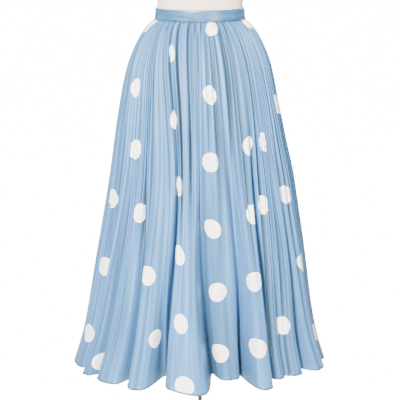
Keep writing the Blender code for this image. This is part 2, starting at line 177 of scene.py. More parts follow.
# fall: share of the way down from the waist seam to the hem; width, depth: half of the
# skirt's width and depth there.
OUTLINE_COLUMNS = ("fall", "width", "depth")
OUTLINE = (
    (0.000, 0.1206, 0.0872),
    (0.018, 0.1400, 0.1060),
    (0.065, 0.1690, 0.1340),
    (0.135, 0.1955, 0.1590),
    (0.255, 0.2190, 0.1850),
    (0.445, 0.2440, 0.2120),
    (0.655, 0.2745, 0.2420),
    (0.895, 0.3130, 0.2830),
    (1.000, 0.3420, 0.3080),
)


def column(table, names, name):
    return np.array([row[names.index(name)] for row in table], float)


def smooth_through(at, xs, ys):
    """A smooth curve through the rows of a table, with no overshoot between them."""
    steps = np.diff(xs)
    slopes = np.diff(ys) / steps
    tangents = np.zeros(len(xs))
    tangents[0], tangents[-1] = slopes[0], slopes[-1]
    for i in range(1, len(xs) - 1):
        if slopes[i - 1] * slopes[i] > 0:
            first = 2 * steps[i] + steps[i - 1]
            second = steps[i] + 2 * steps[i - 1]
            tangents[i] = (first + second) / (first / slopes[i - 1] + second / slopes[i])
    at = np.asarray(at, float)
    i = np.clip(np.searchsorted(xs, at, side="right") - 1, 0, len(steps) - 1)
    h = steps[i]
    t = (at - xs[i]) / h
    return (
        (2 * t**3 - 3 * t**2 + 1) * ys[i]
        + (t**3 - 2 * t**2 + t) * h * tangents[i]
        + (3 * t**2 - 2 * t**3) * ys[i + 1]
        + (t**3 - t**2) * h * tangents[i + 1]
    )


def ramp(x):
    """0 below 0, 1 above 1, smooth between."""
    x = np.clip(x, 0.0, 1.0)
    return x * x * (3 - 2 * x)


def outline(fall, name):
    xs = column(OUTLINE, OUTLINE_COLUMNS, "fall")
    return smooth_through(fall, xs, column(OUTLINE, OUTLINE_COLUMNS, name))


def seam_height(around):
    """Height of the waist seam at an azimuth in degrees: it rises towards the back."""
    return SEAM_Z - WAIST_TILT * outline(0.0, "depth") * np.cos(np.radians(around))


print("waist seam, front and back", seam_height(0.0), seam_height(180.0))

# %% Deep folds
# hem, mid, upper, waist: the valley's azimuth at four heights; inset: how far it lies inside
# the outline at the hem; spread: half of its width in degrees; lobe: how far the lobe after
# it lies inside the outline; start: the share of the fall at which it begins.
FOLD_COLUMNS = ("hem", "mid", "upper", "waist", "inset", "spread", "lobe", "start")
FOLDS = (
    (-171.0, -170.5, -170.0, -171.0, 0.078, 3.0, 0.004, 0.30),
    (-154.0, -157.0, -158.0, -157.0, 0.095, 2.8, 0.022, 0.22),
    (-139.0, -137.0, -136.0, -136.0, 0.060, 3.0, 0.000, 0.35),
    (-122.0, -124.0, -125.0, -124.0, 0.100, 2.8, 0.012, 0.16),
    (-106.0, -102.0, -101.0, -104.0, 0.055, 3.0, 0.000, 0.40),
    (-70.0, -60.0, -60.0, -71.0, 0.050, 2.6, 0.000, 0.40),
    (-57.5, -48.5, -50.0, -60.0, 0.062, 2.0, 0.004, 0.30),
    (-37.0, -34.0, -36.0, -48.0, 0.056, 2.2, 0.004, 0.32),
    (-22.8, -19.0, -23.0, -38.0, 0.100, 2.8, 0.090, 0.60),
    (-17.4, -15.0, -18.4, -33.0, 0.100, 2.0, 0.000, 0.06),
    (6.6, 0.6, 0.0, -1.0, 0.096, 3.2, 0.062, 0.26),
    (24.4, 23.4, 19.6, 17.0, 0.096, 2.4, 0.000, 0.20),
    (37.0, 37.6, 36.6, 36.0, 0.106, 2.3, 0.040, 0.16),
    (49.5, 48.6, 46.5, 47.0, 0.046, 2.4, 0.036, 0.50),
    (65.0, 59.0, 56.0, 58.0, 0.085, 2.4, 0.000, 0.28),
    (84.0, 77.0, 75.0, 76.0, 0.030, 3.0, 0.000, 0.45),
    (101.0, 98.0, 97.0, 98.0, 0.080, 3.0, 0.010, 0.25),
    (117.0, 120.0, 120.0, 119.0, 0.060, 3.0, 0.000, 0.38),
    (133.0, 130.5, 130.0, 131.0, 0.098, 2.8, 0.020, 0.20),
    (149.0, 151.5, 152.0, 151.0, 0.070, 3.0, 0.000, 0.32),
    (166.0, 165.0, 164.5, 166.0, 0.060, 3.0, 0.000, 0.34),
)
PATH_COLUMNS = ("waist", "upper", "mid", "hem")
PATH_FALLS = (0.0, 0.25, 0.55, 1.0)
FOLD_FULL = 1.25  # share of the fall at which a fold would reach its full depth
FOLD_TAPER = 0.2  # a valley is narrower at the waist by this share


def azimuth(hem_azimuth, fall):
    """Where a pleat that meets the hem at hem_azimuth runs at a share of the fall."""
    hems = column(FOLDS, FOLD_COLUMNS, "hem")
    total = 0.0
    for name, at in zip(PATH_COLUMNS, PATH_FALLS):
        shift = np.interp(hem_azimuth, hems, column(FOLDS, FOLD_COLUMNS, name) - hems, period=360)
        # the cubic that is 1 at this share of the fall and 0 at the other three
        share = np.ones(np.shape(fall))
        for other in PATH_FALLS:
            if other != at:
                share = share * (fall - other) / (at - other)
        total = total + share * (hem_azimuth + shift)
    return total


def fold_width(spread, fall):
    """Half of a valley's width in degrees."""
    return spread * (1 - FOLD_TAPER * (1 - fall))


def fold_growth(start, fall):
    """How much of its full depth a fold has reached."""
    grown = ramp((fall - start) / (FOLD_FULL - start)) / ramp(1 / FOLD_FULL)
    return np.minimum(grown, 1.0)


def fold_inset(hem_azimuth, fall):
    """How far the large folds lie inside the outline."""
    hem, inset, spread, lobe, start = (
        column(FOLDS, FOLD_COLUMNS, name) for name in ("hem", "inset", "spread", "lobe", "start")
    )
    total = np.zeros(np.broadcast(hem_azimuth, fall).shape)
    for i in range(len(FOLDS)):
        after = (i + 1) % len(FOLDS)
        growth = fold_growth(start[i], fall)
        away = (hem_azimuth - hem[i] + 180) % 360 - 180
        width = fold_width(spread[i], fall)
        # the valley itself, a narrow dip below the lobes on its two sides
        dip = inset[i] - (lobe[i] + lobe[i - 1]) / 2
        total = total + growth * dip * np.exp(-((away / width) ** 2))
        # the lobe that follows it, flat between two smooth steps
        room = (hem[after] - hem[i]) % 360
        begun = ramp((away / width + 1) / 2)
        ended = ramp(((away - room) / fold_width(spread[after], fall) + 1) / 2)
        total = total + growth * lobe[i] * begun * (1 - ended) * (away > -room)
    return total


print(len(FOLDS), "deep folds, the deepest", column(FOLDS, FOLD_COLUMNS, "inset").max(), "m")

# %% [markdown]
# Three small things make the folds look like cloth. The hem isn't level: it hangs higher in
# a valley, and rises and falls a little from lobe to lobe. A lobe is round across. And the
# wearer's left side hangs straighter than the right one, as the photo shows it.

# %% Line of the hem, round lobes and the straighter side
HEM_LINE_COLUMNS = ("hem", "rise")
HEM_LINE = (
    (-60.0, 0.000), (-40.0, 0.003), (-36.0, 0.010), (-31.0, 0.000), (-24.0, 0.002), (-16.0, 0.017),
    (-10.0, 0.010), (-2.0, 0.002), (5.0, 0.000), (8.0, 0.014), (21.0, 0.015), (26.0, 0.002),
    (35.0, 0.004), (60.0, 0.000),
)


def hem_height(hem_azimuth):
    """Height of the hem, which hangs higher in a valley."""
    hems, rises = (column(HEM_LINE, HEM_LINE_COLUMNS, name) for name in HEM_LINE_COLUMNS)
    return HEM_Z + np.interp(hem_azimuth, hems, rises) + HEM_RISE * fold_inset(hem_azimuth, 1.0)


CROWN_SHARE = 0.17  # how far the edges of a lobe go in, as a share of its width
CROWN_DEEPEST = 0.026
CROWN_OUT = 0.40  # the middle of a lobe comes out by this share of it
CROWN_START, CROWN_GROWTH = 0.2, 0.65  # shares of the fall: where it begins, and over how much it grows
SKIRT_RADIUS = 0.31  # at the hem, roughly


def crown(hem_azimuth, fall):
    """A lobe is round across: its two edges lie further in than its middle."""
    hems = column(FOLDS, FOLD_COLUMNS, "hem")
    rooms = np.diff(np.append(hems, hems[0] + 360))
    edges = np.minimum(CROWN_SHARE * np.radians(rooms) * SKIRT_RADIUS, CROWN_DEEPEST)
    edges = (edges + np.roll(edges, 1)) / 2
    i = (np.searchsorted(hems, hem_azimuth, side="right") - 1) % len(hems)
    t = ((hem_azimuth - hems[i]) % 360) / rooms[i]
    deep = edges[i] * (1 - t) + edges[(i + 1) % len(hems)] * t
    return deep * ((2 * t - 1) ** 2 - CROWN_OUT) * ramp((fall - CROWN_START) / CROWN_GROWTH)


SWELL_COLUMNS = ("fall", "out")
SIDE_SWELL = (
    (0.00, 0.000), (0.12, -0.003), (0.20, -0.005), (0.32, 0.000), (0.45, 0.009), (0.62, 0.007),
    (0.85, 0.001), (1.00, 0.000),
)
SWELL_AT, SWELL_REACH = 88.0, 30.0  # the azimuth of its middle and how far it reaches, in degrees


def side_swell(hem_azimuth, fall):
    """How far the wearer's left side hangs outside the outline, which is the same on both sides."""
    falls, outs = (column(SIDE_SWELL, SWELL_COLUMNS, name) for name in SWELL_COLUMNS)
    return smooth_through(fall, falls, outs) * np.exp(-(((hem_azimuth - SWELL_AT) / SWELL_REACH) ** 2))


print("hem at the front", hem_height(0.0).round(3), "side swell", side_swell(SWELL_AT, 0.45).round(4))

# %% [markdown]
# A pressed pleat isn't a wave. Its faces are flat and meet in sharp lines, so each pleat
# below is four flat facets: a deep valley, a ridge, a shallow crease and a second ridge.
# Every line of it wanders and changes its depth a little on its way down, and near the hem
# the facets relax into soft folds.

# %% Pressed pleats
SEAMS = (-180, -90, 90, 180)  # azimuths: the centre back, the wearer's right and left, the centre back
PLEATS = 52
PLEAT_SEED = 11
PLEAT_UNEVEN = 0.46
# share: where a line lies in its pleat; level: how deep it is, as a share of the pleat's depth
LINE_COLUMNS = ("share", "level")
PLEAT_LINES = ((0.0, 1.0), (0.27, 0.02), (0.52, 0.50), (0.77, 0.06))
LINE_UNEVEN = 0.09
LEVEL_LEAST, LEVEL_RANGE = 0.35, 1.3  # each line's level is drawn anew, as a share of the listed one
RIDGE_SINK = 0.10  # and each ridge and crease may lie this much deeper
# deep: the depth of a pleat in metres; soft: 0 where its facets are flat, 1 where they are round
PLEAT_COLUMNS = ("fall", "deep", "soft")
PLEAT_DEPTHS = (
    (0.000, 0.0022, 0.3),
    (0.010, 0.0066, 0.2),
    (0.045, 0.0100, 0.0),
    (0.120, 0.0122, 0.0),
    (0.300, 0.0128, 0.0),
    (0.480, 0.0112, 0.1),
    (0.700, 0.0092, 0.5),
    (1.000, 0.0050, 1.0),
)
# hold: how much of a pleat's depth is left near the hem
HOLD_COLUMNS = ("hem", "hold")
PLEAT_HOLD = (
    (-180.0, 0.6), (-100.0, 0.7), (-70.0, 1.0), (-30.0, 1.0), (-16.0, 0.25), (30.0, 0.25),
    (44.0, 0.8), (100.0, 0.8), (180.0, 0.6),
)
HOLD_START, HOLD_REACH = 0.38, 0.3
# share: how much the depth of a line wobbles; waves: how fast, in radians for the whole fall
WOBBLES = ((0.24, 6.0), (0.15, 15.0))
FADE_MOST = 0.75  # a line that fades loses this share of its depth
FADE_DRAWN = 0.4  # lines that drew less than this keep their depth
FADE_START, FADE_REACH = 0.30, 0.25
SEAM_REACH = 0.05  # over this share of the fall the pleats open from their even tucks at the seam
chance = np.random.default_rng(PLEAT_SEED)


def pleat_lines():
    """Azimuths of all pressed lines round the skirt. A valley falls on each seam."""
    lines = []
    for first, last in zip(SEAMS, SEAMS[1:]):
        shares = 1 + PLEAT_UNEVEN * (2 * chance.random(PLEATS * (last - first) // 360) - 1)
        starts = first + (last - first) * np.concatenate([[0.0], np.cumsum(shares) / shares.sum()])
        for start, end in zip(starts, starts[1:]):
            for share, _ in PLEAT_LINES:
                moved = share + (LINE_UNEVEN * (2 * chance.random() - 1) if share else 0.0)
                lines.append(start + (end - start) * moved)
    return np.array(lines + [SEAMS[-1]], float)


LINES = pleat_lines()
LINE_COUNT = PLEATS * len(PLEAT_LINES)
IS_VALLEY = np.arange(LINE_COUNT) % len(PLEAT_LINES) == 0
LEVELS = np.tile(column(PLEAT_LINES, LINE_COLUMNS, "level"), PLEATS)
LEVELS = LEVELS * (LEVEL_LEAST + LEVEL_RANGE * chance.random(LINE_COUNT))
LEVELS = LEVELS + RIDGE_SINK * chance.random(LINE_COUNT) * ~IS_VALLEY
FADE = chance.random(LINE_COUNT)
PHASES = chance.random((len(WOBBLES), LINE_COUNT)) * 2 * np.pi
print(LINE_COUNT, "pressed lines, the closest", round(float(np.diff(LINES).min()), 2), "degrees at the hem")

# %% Depth of the pleats
def line_level(line, fall):
    """How deep a pressed line lies, as a share of the deepest, on its way down."""
    wobble = sum(share * np.sin(waves * fall + phase[line]) for (share, waves), phase in zip(WOBBLES, PHASES))
    faded = ramp((fall - FADE_START - FADE_REACH * FADE[line]) / FADE_REACH)
    fade = 1 - FADE_MOST * ramp((FADE[line] - FADE_DRAWN) / FADE_REACH) * faded
    settle = ramp(fall / SEAM_REACH)
    even = np.where(IS_VALLEY[line], 1.0, 0.0)
    return even * (1 - settle) + LEVELS[line] * (1 + wobble) * fade * settle


def pleat_inset(hem_azimuth, fall):
    """How far the pressed pleats lie inside the outline."""
    i = np.clip(np.searchsorted(LINES, hem_azimuth, side="right") - 1, 0, LINE_COUNT - 1)
    t = (hem_azimuth - LINES[i]) / (LINES[i + 1] - LINES[i])
    falls = column(PLEAT_DEPTHS, PLEAT_COLUMNS, "fall")
    soft = smooth_through(fall, falls, column(PLEAT_DEPTHS, PLEAT_COLUMNS, "soft"))
    deep = smooth_through(fall, falls, column(PLEAT_DEPTHS, PLEAT_COLUMNS, "deep"))
    t = t * (1 - soft) + ramp(t) * soft
    holds = (column(PLEAT_HOLD, HOLD_COLUMNS, name) for name in HOLD_COLUMNS)
    deep = deep * (1 - (1 - np.interp(hem_azimuth, *holds)) * ramp((fall - HOLD_START) / HOLD_REACH))
    return deep * (line_level(i, fall) * (1 - t) + line_level((i + 1) % LINE_COUNT, fall) * t)


# %% Drift and lean
# each wave's share, its number round the skirt, its turn on the way down and its start
WANDER_WAVES = ((1.0, 5, 4.1, 0.6), (0.7, 11, -6.3, 2.2), (0.5, 23, 9.0, 4.0))
WANDER_DEGREES = 0.75
WANDER_CLEAR = 0.3  # the lower this power, the nearer to a seam the drift goes on


def wander(hem_azimuth, fall):
    """Pleats don't hang in straight lines: a slow drift to either side, in degrees."""
    a = np.radians(hem_azimuth)
    drift = 0.0
    for share, number, turn, start in WANDER_WAVES:
        drift = drift + share * np.sin(number * a + turn * fall + start)
    return WANDER_DEGREES * drift * np.sin(np.pi * fall) * np.abs(np.sin(2 * a)) ** WANDER_CLEAR


PINCH = 0.25
PINCH_COLUMNS = ("hem", "inset", "spread", "start")
PINCH_REACH = 1.7  # in widths of the valley
PINCH_EARLY = 0.7  # it begins at this share of the fold's own start
PINCH_GROWTH = 0.5
PINCH_DEEP = 0.09  # a fold of this inset pinches fully, a smaller one less


def pinch(hem_azimuth, fall):
    """The two walls of a deep fold lean towards each other."""
    total = np.zeros(np.broadcast(hem_azimuth, fall).shape)
    for hem, inset, spread, start in zip(*(column(FOLDS, FOLD_COLUMNS, n) for n in PINCH_COLUMNS)):
        width = fold_width(spread, fall) * PINCH_REACH
        away = (hem_azimuth - hem + 180) % 360 - 180
        closing = PINCH * ramp((fall - start * PINCH_EARLY) / PINCH_GROWTH) * min(1.0, inset / PINCH_DEEP)
        total = total - closing * away * np.exp(-((away / width) ** 2))
    return total


print("drift of a pleat at 45 degrees, half way down", wander(45.0, 0.5).round(2), "degrees")

# %% Points of the cloth
def cloth_points(hem_azimuth, fall):
    """Points in the middle of the cloth, for directions and shares of the fall."""
    turned = azimuth(hem_azimuth + wander(hem_azimuth, fall) + pinch(hem_azimuth, fall), fall)
    around = np.radians(turned)
    width, depth = outline(fall, "width"), outline(fall, "depth")
    out = -pleat_inset(hem_azimuth, fall) - fold_inset(hem_azimuth, fall) - crown(hem_azimuth, fall)
    out = out + side_swell(hem_azimuth, fall)
    normal_x, normal_y = np.sin(around) / width, -np.cos(around) / depth
    size = np.hypot(normal_x, normal_y)
    x = width * np.sin(around) + out * normal_x / size
    y = -depth * np.cos(around) + out * normal_y / size
    top = seam_height(azimuth(hem_azimuth, 0.0)) - GAP
    return np.stack([x, y, top + (hem_height(hem_azimuth) - top) * fall], -1)


def unit(vectors):
    return vectors / np.maximum(np.linalg.norm(vectors, axis=-1, keepdims=True), 1e-12)


print("front of the hem", cloth_points(np.array(-3.0), np.array(1.0)).round(3))

# %% [markdown]
# ## From points to a panel
#
# Each sewn panel is its own sheet, a thin wall with an outer and an inner face. Five layers
# of numbers ride on it for its material. Three are UV maps: where a point lay on the flat
# cloth before it was pleated, in metres; which pleat it lies in and how far down; and the
# way to it from the nearest dot. The weave and the print follow the flat cloth, so that a
# dot stays round on the cloth and only looks narrow where the cloth is folded. Two are
# attributes: how far a point is from the hem, and how deep in a valley, which sets the
# painted shade there.

# %% Where the dots were printed
# The print on the front panel, in metres on the flat cloth from the middle of its top edge.
# Fine crinkles take up some width of the cloth, so a dot is narrower than it was printed.
DOT_COLUMNS = ("across", "down", "wide")
FRONT_DOTS = (
    (0.084, 0.017, 1.00), (0.069, 0.203, 0.80), (0.068, 0.377, 0.88), (0.054, 0.552, 0.96),
    (0.072, 0.719, 0.94), (0.089, 0.883, 0.92), (-0.060, 0.093, 0.60), (-0.088, 0.268, 0.72),
    (-0.068, 0.439, 1.05), (-0.083, 0.610, 0.66), (-0.080, 0.781, 0.66), (-0.070, 0.936, 0.80),
    (-0.264, 0.157, 1.10), (-0.274, 0.317, 1.30), (-0.268, 0.483, 1.20), (-0.238, 0.646, 0.86),
    (-0.228, 0.815, 0.75), (-0.292, -0.031, 1.00), (-0.449, 0.409, 1.15), (-0.539, 0.571, 1.05),
    (-0.648, 0.733, 0.90), (-0.534, 0.838, 0.85), (0.191, 0.320, 0.75), (0.200, 0.496, 1.15),
    (0.212, 0.666, 1.00), (0.241, 0.835, 1.00), (0.318, -0.055, 1.00), (0.280, 0.296, 1.20),
    (0.289, 0.462, 1.05), (0.434, 0.150, 1.25), (0.440, 0.397, 1.40), (0.446, 0.759, 0.90),
    (0.570, 0.552, 1.50), (0.694, 0.727, 1.50),
)
DOT_STEP = 0.172  # from dot to dot down a column of the repeat
DOT_COLUMN_STEP = 0.148
DOT_LEAN = 0.034
DOT_WIDE = 0.9
DOT_REPEATS = range(-12, 13)  # columns to both sides of the middle
DOT_ROWS = range(-1, 11)
DOT_ROOM = 0.14  # from a charted dot to the nearest one of the repeat
SEEN_REACH = 0.64  # the charted part of the front, to each side of its middle


def repeat_dots():
    """A half-drop repeat whose rows run down a little towards +X."""
    centres = []
    for number in DOT_REPEATS:
        first = (number * (DOT_STEP / 2 + DOT_LEAN)) % DOT_STEP
        for row in DOT_ROWS:
            centres.append((number * DOT_COLUMN_STEP, first + row * DOT_STEP, DOT_WIDE))
    return np.array(centres)


def front_dots():
    """The charted dots, and the repeat where it is clear of them, round the sides."""
    charted = np.array(FRONT_DOTS)
    more = repeat_dots()
    clear = np.linalg.norm(more[:, None, :2] - charted[:, :2], axis=2).min(1) > DOT_ROOM
    return np.concatenate([charted, more[clear & (abs(more[:, 0]) > SEEN_REACH)]])


print(len(FRONT_DOTS), "charted dots,", len(front_dots()), "on the front,", len(repeat_dots()), "on the back")

# %% Rings of a panel and the directions of its wall
CLOTH = 0.0007
# the rolled hem: half of the wall's thickness at each height above the edge
HEM_COLUMNS = ("above", "half_thick")
HEM_ROLL = ((0.0055, 0.00035), (0.0044, 0.0009), (0.0028, 0.0014), (0.0010, 0.0012), (0.0, 0.0005))
RING_COUNT = 82
RING_POWER, RING_BEND = 1.35, 0.55  # how much closer the rings lie near the waist
RING_CLEAR = 0.004  # between the last ring of the wall and the first one of the roll, as a share
COLUMNS_PER_FACET = 5
EDGE_STEP = 0.2  # degrees from a panel's edge to the column beyond it


def ring_falls():
    """Rings are closest at the waist and at the hem, where the shape changes most."""
    t = np.linspace(0.0, 1.0, RING_COUNT)
    falls = t**RING_POWER * RING_BEND + t * (1 - RING_BEND)
    roll = 1 - column(HEM_ROLL, HEM_COLUMNS, "above") / (SEAM_Z - HEM_Z)
    return np.concatenate([falls[falls < roll[0] - RING_CLEAR], roll])


def wall_normals(points, before, after):
    """Outward directions. The columns before and after the panel keep two panels in line."""
    padded = np.concatenate([before[:, None], points, after[:, None]], 1)
    across = unit(padded[:, 1:] - padded[:, :-1])
    down = unit(np.gradient(points, axis=0))
    left = unit(np.cross(down, across[:, :-1]))
    right = unit(np.cross(down, across[:, 1:]))
    return unit(left + right)


print(len(ring_falls()), "rings from the waist to the hem")

# %% Numbers that ride on a panel
SECTOR_ANGLE = 0.86  # half of the flat front panel's angle in radians, as part of a ring
SECTOR_TOP = 0.84  # inner radius of that ring
# Valleys are painted darker by how deep they go in: painted shade.
PLEAT_DEEPEST = 0.0128  # a pleat or a fold that goes in this far gets the full painted shade
FOLD_DEEPEST = 0.11
PLEAT_SHADE = 1.15
SEAM_SHADE = 1.8  # the painted shade in the tucks right under the band is this much stronger


def flat_cloth(points, first, last):
    """Places on the flat cloth, lengths along each ring, and the radius of each ring."""
    steps = np.linalg.norm(np.diff(points, axis=1), axis=2)
    along = np.concatenate([np.zeros((len(points), 1)), np.cumsum(steps, 1)], 1)
    # the print's middle line is the centre front, or the seam at the centre back
    middle_share = 0.5 if first < 0 < last else float(last == SEAMS[-1])
    turn = (along / along[:, -1:] - middle_share) * SECTOR_ANGLE * (last - first) / 180
    length = np.linalg.norm(np.diff(points, axis=0), axis=2).mean(1)
    down = SECTOR_TOP + np.concatenate([[0.0], np.cumsum(length)])[:, None]
    return np.stack([down * np.sin(turn), down * np.cos(turn) - SECTOR_TOP], -1), along, down


def valley_shade_share(hem_azimuth, fall):
    """How deep in a valley a point lies, from 0 to 1, which sets the painted shade there."""
    pleats = PLEAT_SHADE * pleat_inset(hem_azimuth, fall) / PLEAT_DEEPEST
    folds = fold_inset(hem_azimuth, fall) / FOLD_DEEPEST
    return np.clip((pleats + folds) * (1 + SEAM_SHADE * (1 - ramp(fall / SEAM_REACH))), 0, 1)


def way_from_dot(places, faces, dots):
    """For each corner of each face, the way to it from the dot that is nearest to the face."""
    middles = places[faces].mean(1)
    nearest = dots[np.argmin(((middles[:, None] - dots[:, :2]) ** 2).sum(2), 1)]
    way = places[faces] - nearest[:, None, :2]
    way[..., 0] /= nearest[:, None, DOT_COLUMNS.index("wide")]
    return way


# %% Mesh of a panel
def wall_faces(rows, columns):
    """Faces of the outer side, the inner side and the four edges between them."""
    count = rows * columns
    grid = np.arange(count).reshape(rows, columns)
    a, b = grid[:-1, :-1].ravel(), grid[:-1, 1:].ravel()
    c, d = grid[1:, 1:].ravel(), grid[1:, :-1].ravel()
    faces = [np.stack([a, d, c, b], 1), np.stack([a, b, c, d], 1) + count]
    top, hem, start, end = grid[0], grid[-1], grid[:, 0], grid[:, -1]
    # each edge is walked so that its faces point outwards
    for t, u in ((top[:-1], top[1:]), (hem[1:], hem[:-1]), (start[1:], start[:-1]), (end[:-1], end[1:])):
        faces.append(np.stack([t, u, u + count, t + count], 1))
    return np.concatenate(faces)


def vertex_map(mesh, map_name, values):
    """A UV map with one value for each vertex."""
    corners = np.empty(len(mesh.loops), int)
    mesh.loops.foreach_get("vertex_index", corners)
    mesh.uv_layers.new(name=map_name).data.foreach_set("uv", values[corners].ravel())


def sewn_piece(name, mesh, finish):
    """A new object for the mesh, in the scene, with its finish."""
    mesh.shade_smooth()
    mesh.materials.append(finish)
    made = bpy.data.objects.new(name, mesh)
    bpy.context.scene.collection.objects.link(made)
    return made


def panel(name, first, last, dots, finish):
    """One sheet from azimuth first to azimuth last, which are edges of pleats."""
    i, j = np.argmin(abs(LINES - first)), np.argmin(abs(LINES - last))
    facets = [np.linspace(LINES[k], LINES[k + 1], COLUMNS_PER_FACET, endpoint=False) for k in range(i, j)]
    azimuths = np.concatenate([*facets, [LINES[j]]])
    falls = ring_falls()
    fall = falls[:, None]
    points = cloth_points(azimuths[None, :], fall)
    before = cloth_points(np.array([[azimuths[0] - EDGE_STEP]]), fall)[:, 0]
    after = cloth_points(np.array([[azimuths[-1] + EDGE_STEP]]), fall)[:, 0]
    half = np.full(len(falls), CLOTH / 2)
    half[-len(HEM_ROLL):] = column(HEM_ROLL, HEM_COLUMNS, "half_thick")
    offset = wall_normals(points, before, after) * half[:, None, None]
    walls = np.concatenate([(points + offset).reshape(-1, 3), (points - offset).reshape(-1, 3)])

    flat, along, down = flat_cloth(points, first, last)
    way = np.stack(np.broadcast_arrays(azimuths[None, :] * PLEATS / 360, fall), -1)
    from_hem = down[-1, 0] - np.broadcast_to(down, along.shape)
    faces = wall_faces(*along.shape)

    mesh = bpy.data.meshes.new(name)
    mesh.from_pydata(walls, [], faces)
    mesh.update()
    both_sides = np.concatenate([flat.reshape(-1, 2)] * 2)
    vertex_map(mesh, "flat_cloth", both_sides)
    vertex_map(mesh, "pleat_way", np.concatenate([way.reshape(-1, 2)] * 2))
    from_dot = way_from_dot(both_sides, faces, dots)
    mesh.uv_layers.new(name="from_dot").data.foreach_set("uv", from_dot.ravel())
    # the second attribute is the share of painted shade at each point
    for layer_name, values in (("from_hem", from_hem), ("valley_painted_shade", valley_shade_share(azimuths[None, :], fall))):
        layer = mesh.attributes.new(layer_name, "FLOAT", "POINT")
        layer.data.foreach_set("value", np.concatenate([values.ravel()] * 2))
    area = sum(p.area for p in mesh.polygons) / 2
    waist, hem, length = (round(float(v), 3) for v in (along[0, -1], along[-1, -1], down[-1, 0] - SECTOR_TOP))
    print(name, len(faces) * 2, "triangles, area", round(area, 3), "waist", waist, "hem", hem, "length", length)
    return sewn_piece(name, mesh, finish)


# %% [markdown]
# ## Finishes as node groups
#
# Each effect, such as the print or the crinkle, is a group with its own inputs, so that
# finishes can share it. A group gives back heights and masks, and the material decides what
# to do with them.

# %% Helpers for node groups
def new_group(name, inputs, outputs):
    group = bpy.data.node_groups.new(name, "ShaderNodeTree")
    for socket, kind, value in inputs:
        made = group.interface.new_socket(socket, in_out="INPUT", socket_type=kind)
        if value is not None:
            made.default_value = value
    for socket, kind in outputs:
        group.interface.new_socket(socket, in_out="OUTPUT", socket_type=kind)
    return group, group.nodes.new("NodeGroupInput"), group.nodes.new("NodeGroupOutput")


def split(tree, vector):
    node = tree.nodes.new("ShaderNodeSeparateXYZ")
    tree.links.new(vector, node.inputs[0])
    return node.outputs


def clamp(tree, value):
    """The value, but never under 0 or over 1."""
    return math_node(tree, "MINIMUM", math_node(tree, "MAXIMUM", value, 0.0), 1.0)


def stretched_noise(tree, vector, detail, along, across):
    """Noise that turns over this many times a unit along and across the cloth."""
    mapping = tree.nodes.new("ShaderNodeMapping")
    mapping.inputs["Scale"].default_value = (across, along, 1.0)
    tree.links.new(vector, mapping.inputs["Vector"])
    noise = tree.nodes.new("ShaderNodeTexNoise")
    noise.inputs["Scale"].default_value = 1.0
    noise.inputs["Detail"].default_value = detail
    tree.links.new(mapping.outputs[0], noise.inputs["Vector"])
    return noise.outputs["Fac"]


def thin_line(tree, noise, sharpness):
    """A line wherever a slow noise passes through its middle value: 1 on it and 0 beside it."""
    off_line = math_node(tree, "ABSOLUTE", math_node(tree, "SUBTRACT", noise, 0.5))
    near = math_node(tree, "SUBTRACT", 1.0, math_node(tree, "MULTIPLY", off_line, sharpness))
    return math_node(tree, "MAXIMUM", near, 0.0)


VECTOR, FLOAT = "NodeSocketVector", "NodeSocketFloat"

# %% [markdown]
# The panels know for each face which dot lies nearest on the flat cloth, and their map
# "from_dot" holds the way to its centre. The length of that way is less than the dot's
# radius inside it, and a steep ramp on the difference gives the printed edge.

# %% Dots
DOT_SHARPNESS = 1600.0  # 1 over the width of the printed edge, in metres
RIM_SHARPNESS = 230.0  # and of the ring along it, where the print lies thicker


def dots_group():
    group, given, result = new_group(
        "printed_dots",
        [("From dot", VECTOR, None), ("Radius", FLOAT, 0.025)],
        [("Dot", FLOAT), ("Rim", FLOAT)],
    )
    away = group.nodes.new("ShaderNodeVectorMath")
    away.operation = "LENGTH"
    group.links.new(given.outputs["From dot"], away.inputs[0])
    inside = math_node(group, "SUBTRACT", given.outputs["Radius"], away.outputs["Value"])
    dot = clamp(group, math_node(group, "MULTIPLY_ADD", inside, DOT_SHARPNESS, 0.5))
    rim = clamp(group, math_node(group, "SUBTRACT", 1.0, math_node(group, "MULTIPLY", inside, RIM_SHARPNESS)))
    group.links.new(dot, result.inputs["Dot"])
    group.links.new(rim, result.inputs["Rim"])
    return group


DOTS = dots_group()
print(DOTS.name, "with", len(DOTS.nodes), "nodes")

# %% [markdown]
# Pressing leaves fine creases along the pleats. Some are soft, and some are hairlines, which
# run wherever a slow noise passes through its middle value. The tone runs in streaks, a few
# to each pleat, which fade into clouds towards the hem.

# %% Crinkle and weave
HAIRLINE_SHARPNESS = 34.0
DRAWN_SHARPNESS = 15.0
FINE_HEIGHT = 0.35  # heights of the small creases, as shares of the wide ones
HAIRLINE_HEIGHT = -0.35
STREAK_GAIN = 4.2
STREAK_FADE = 0.50  # share of the streaks that is gone at the hem


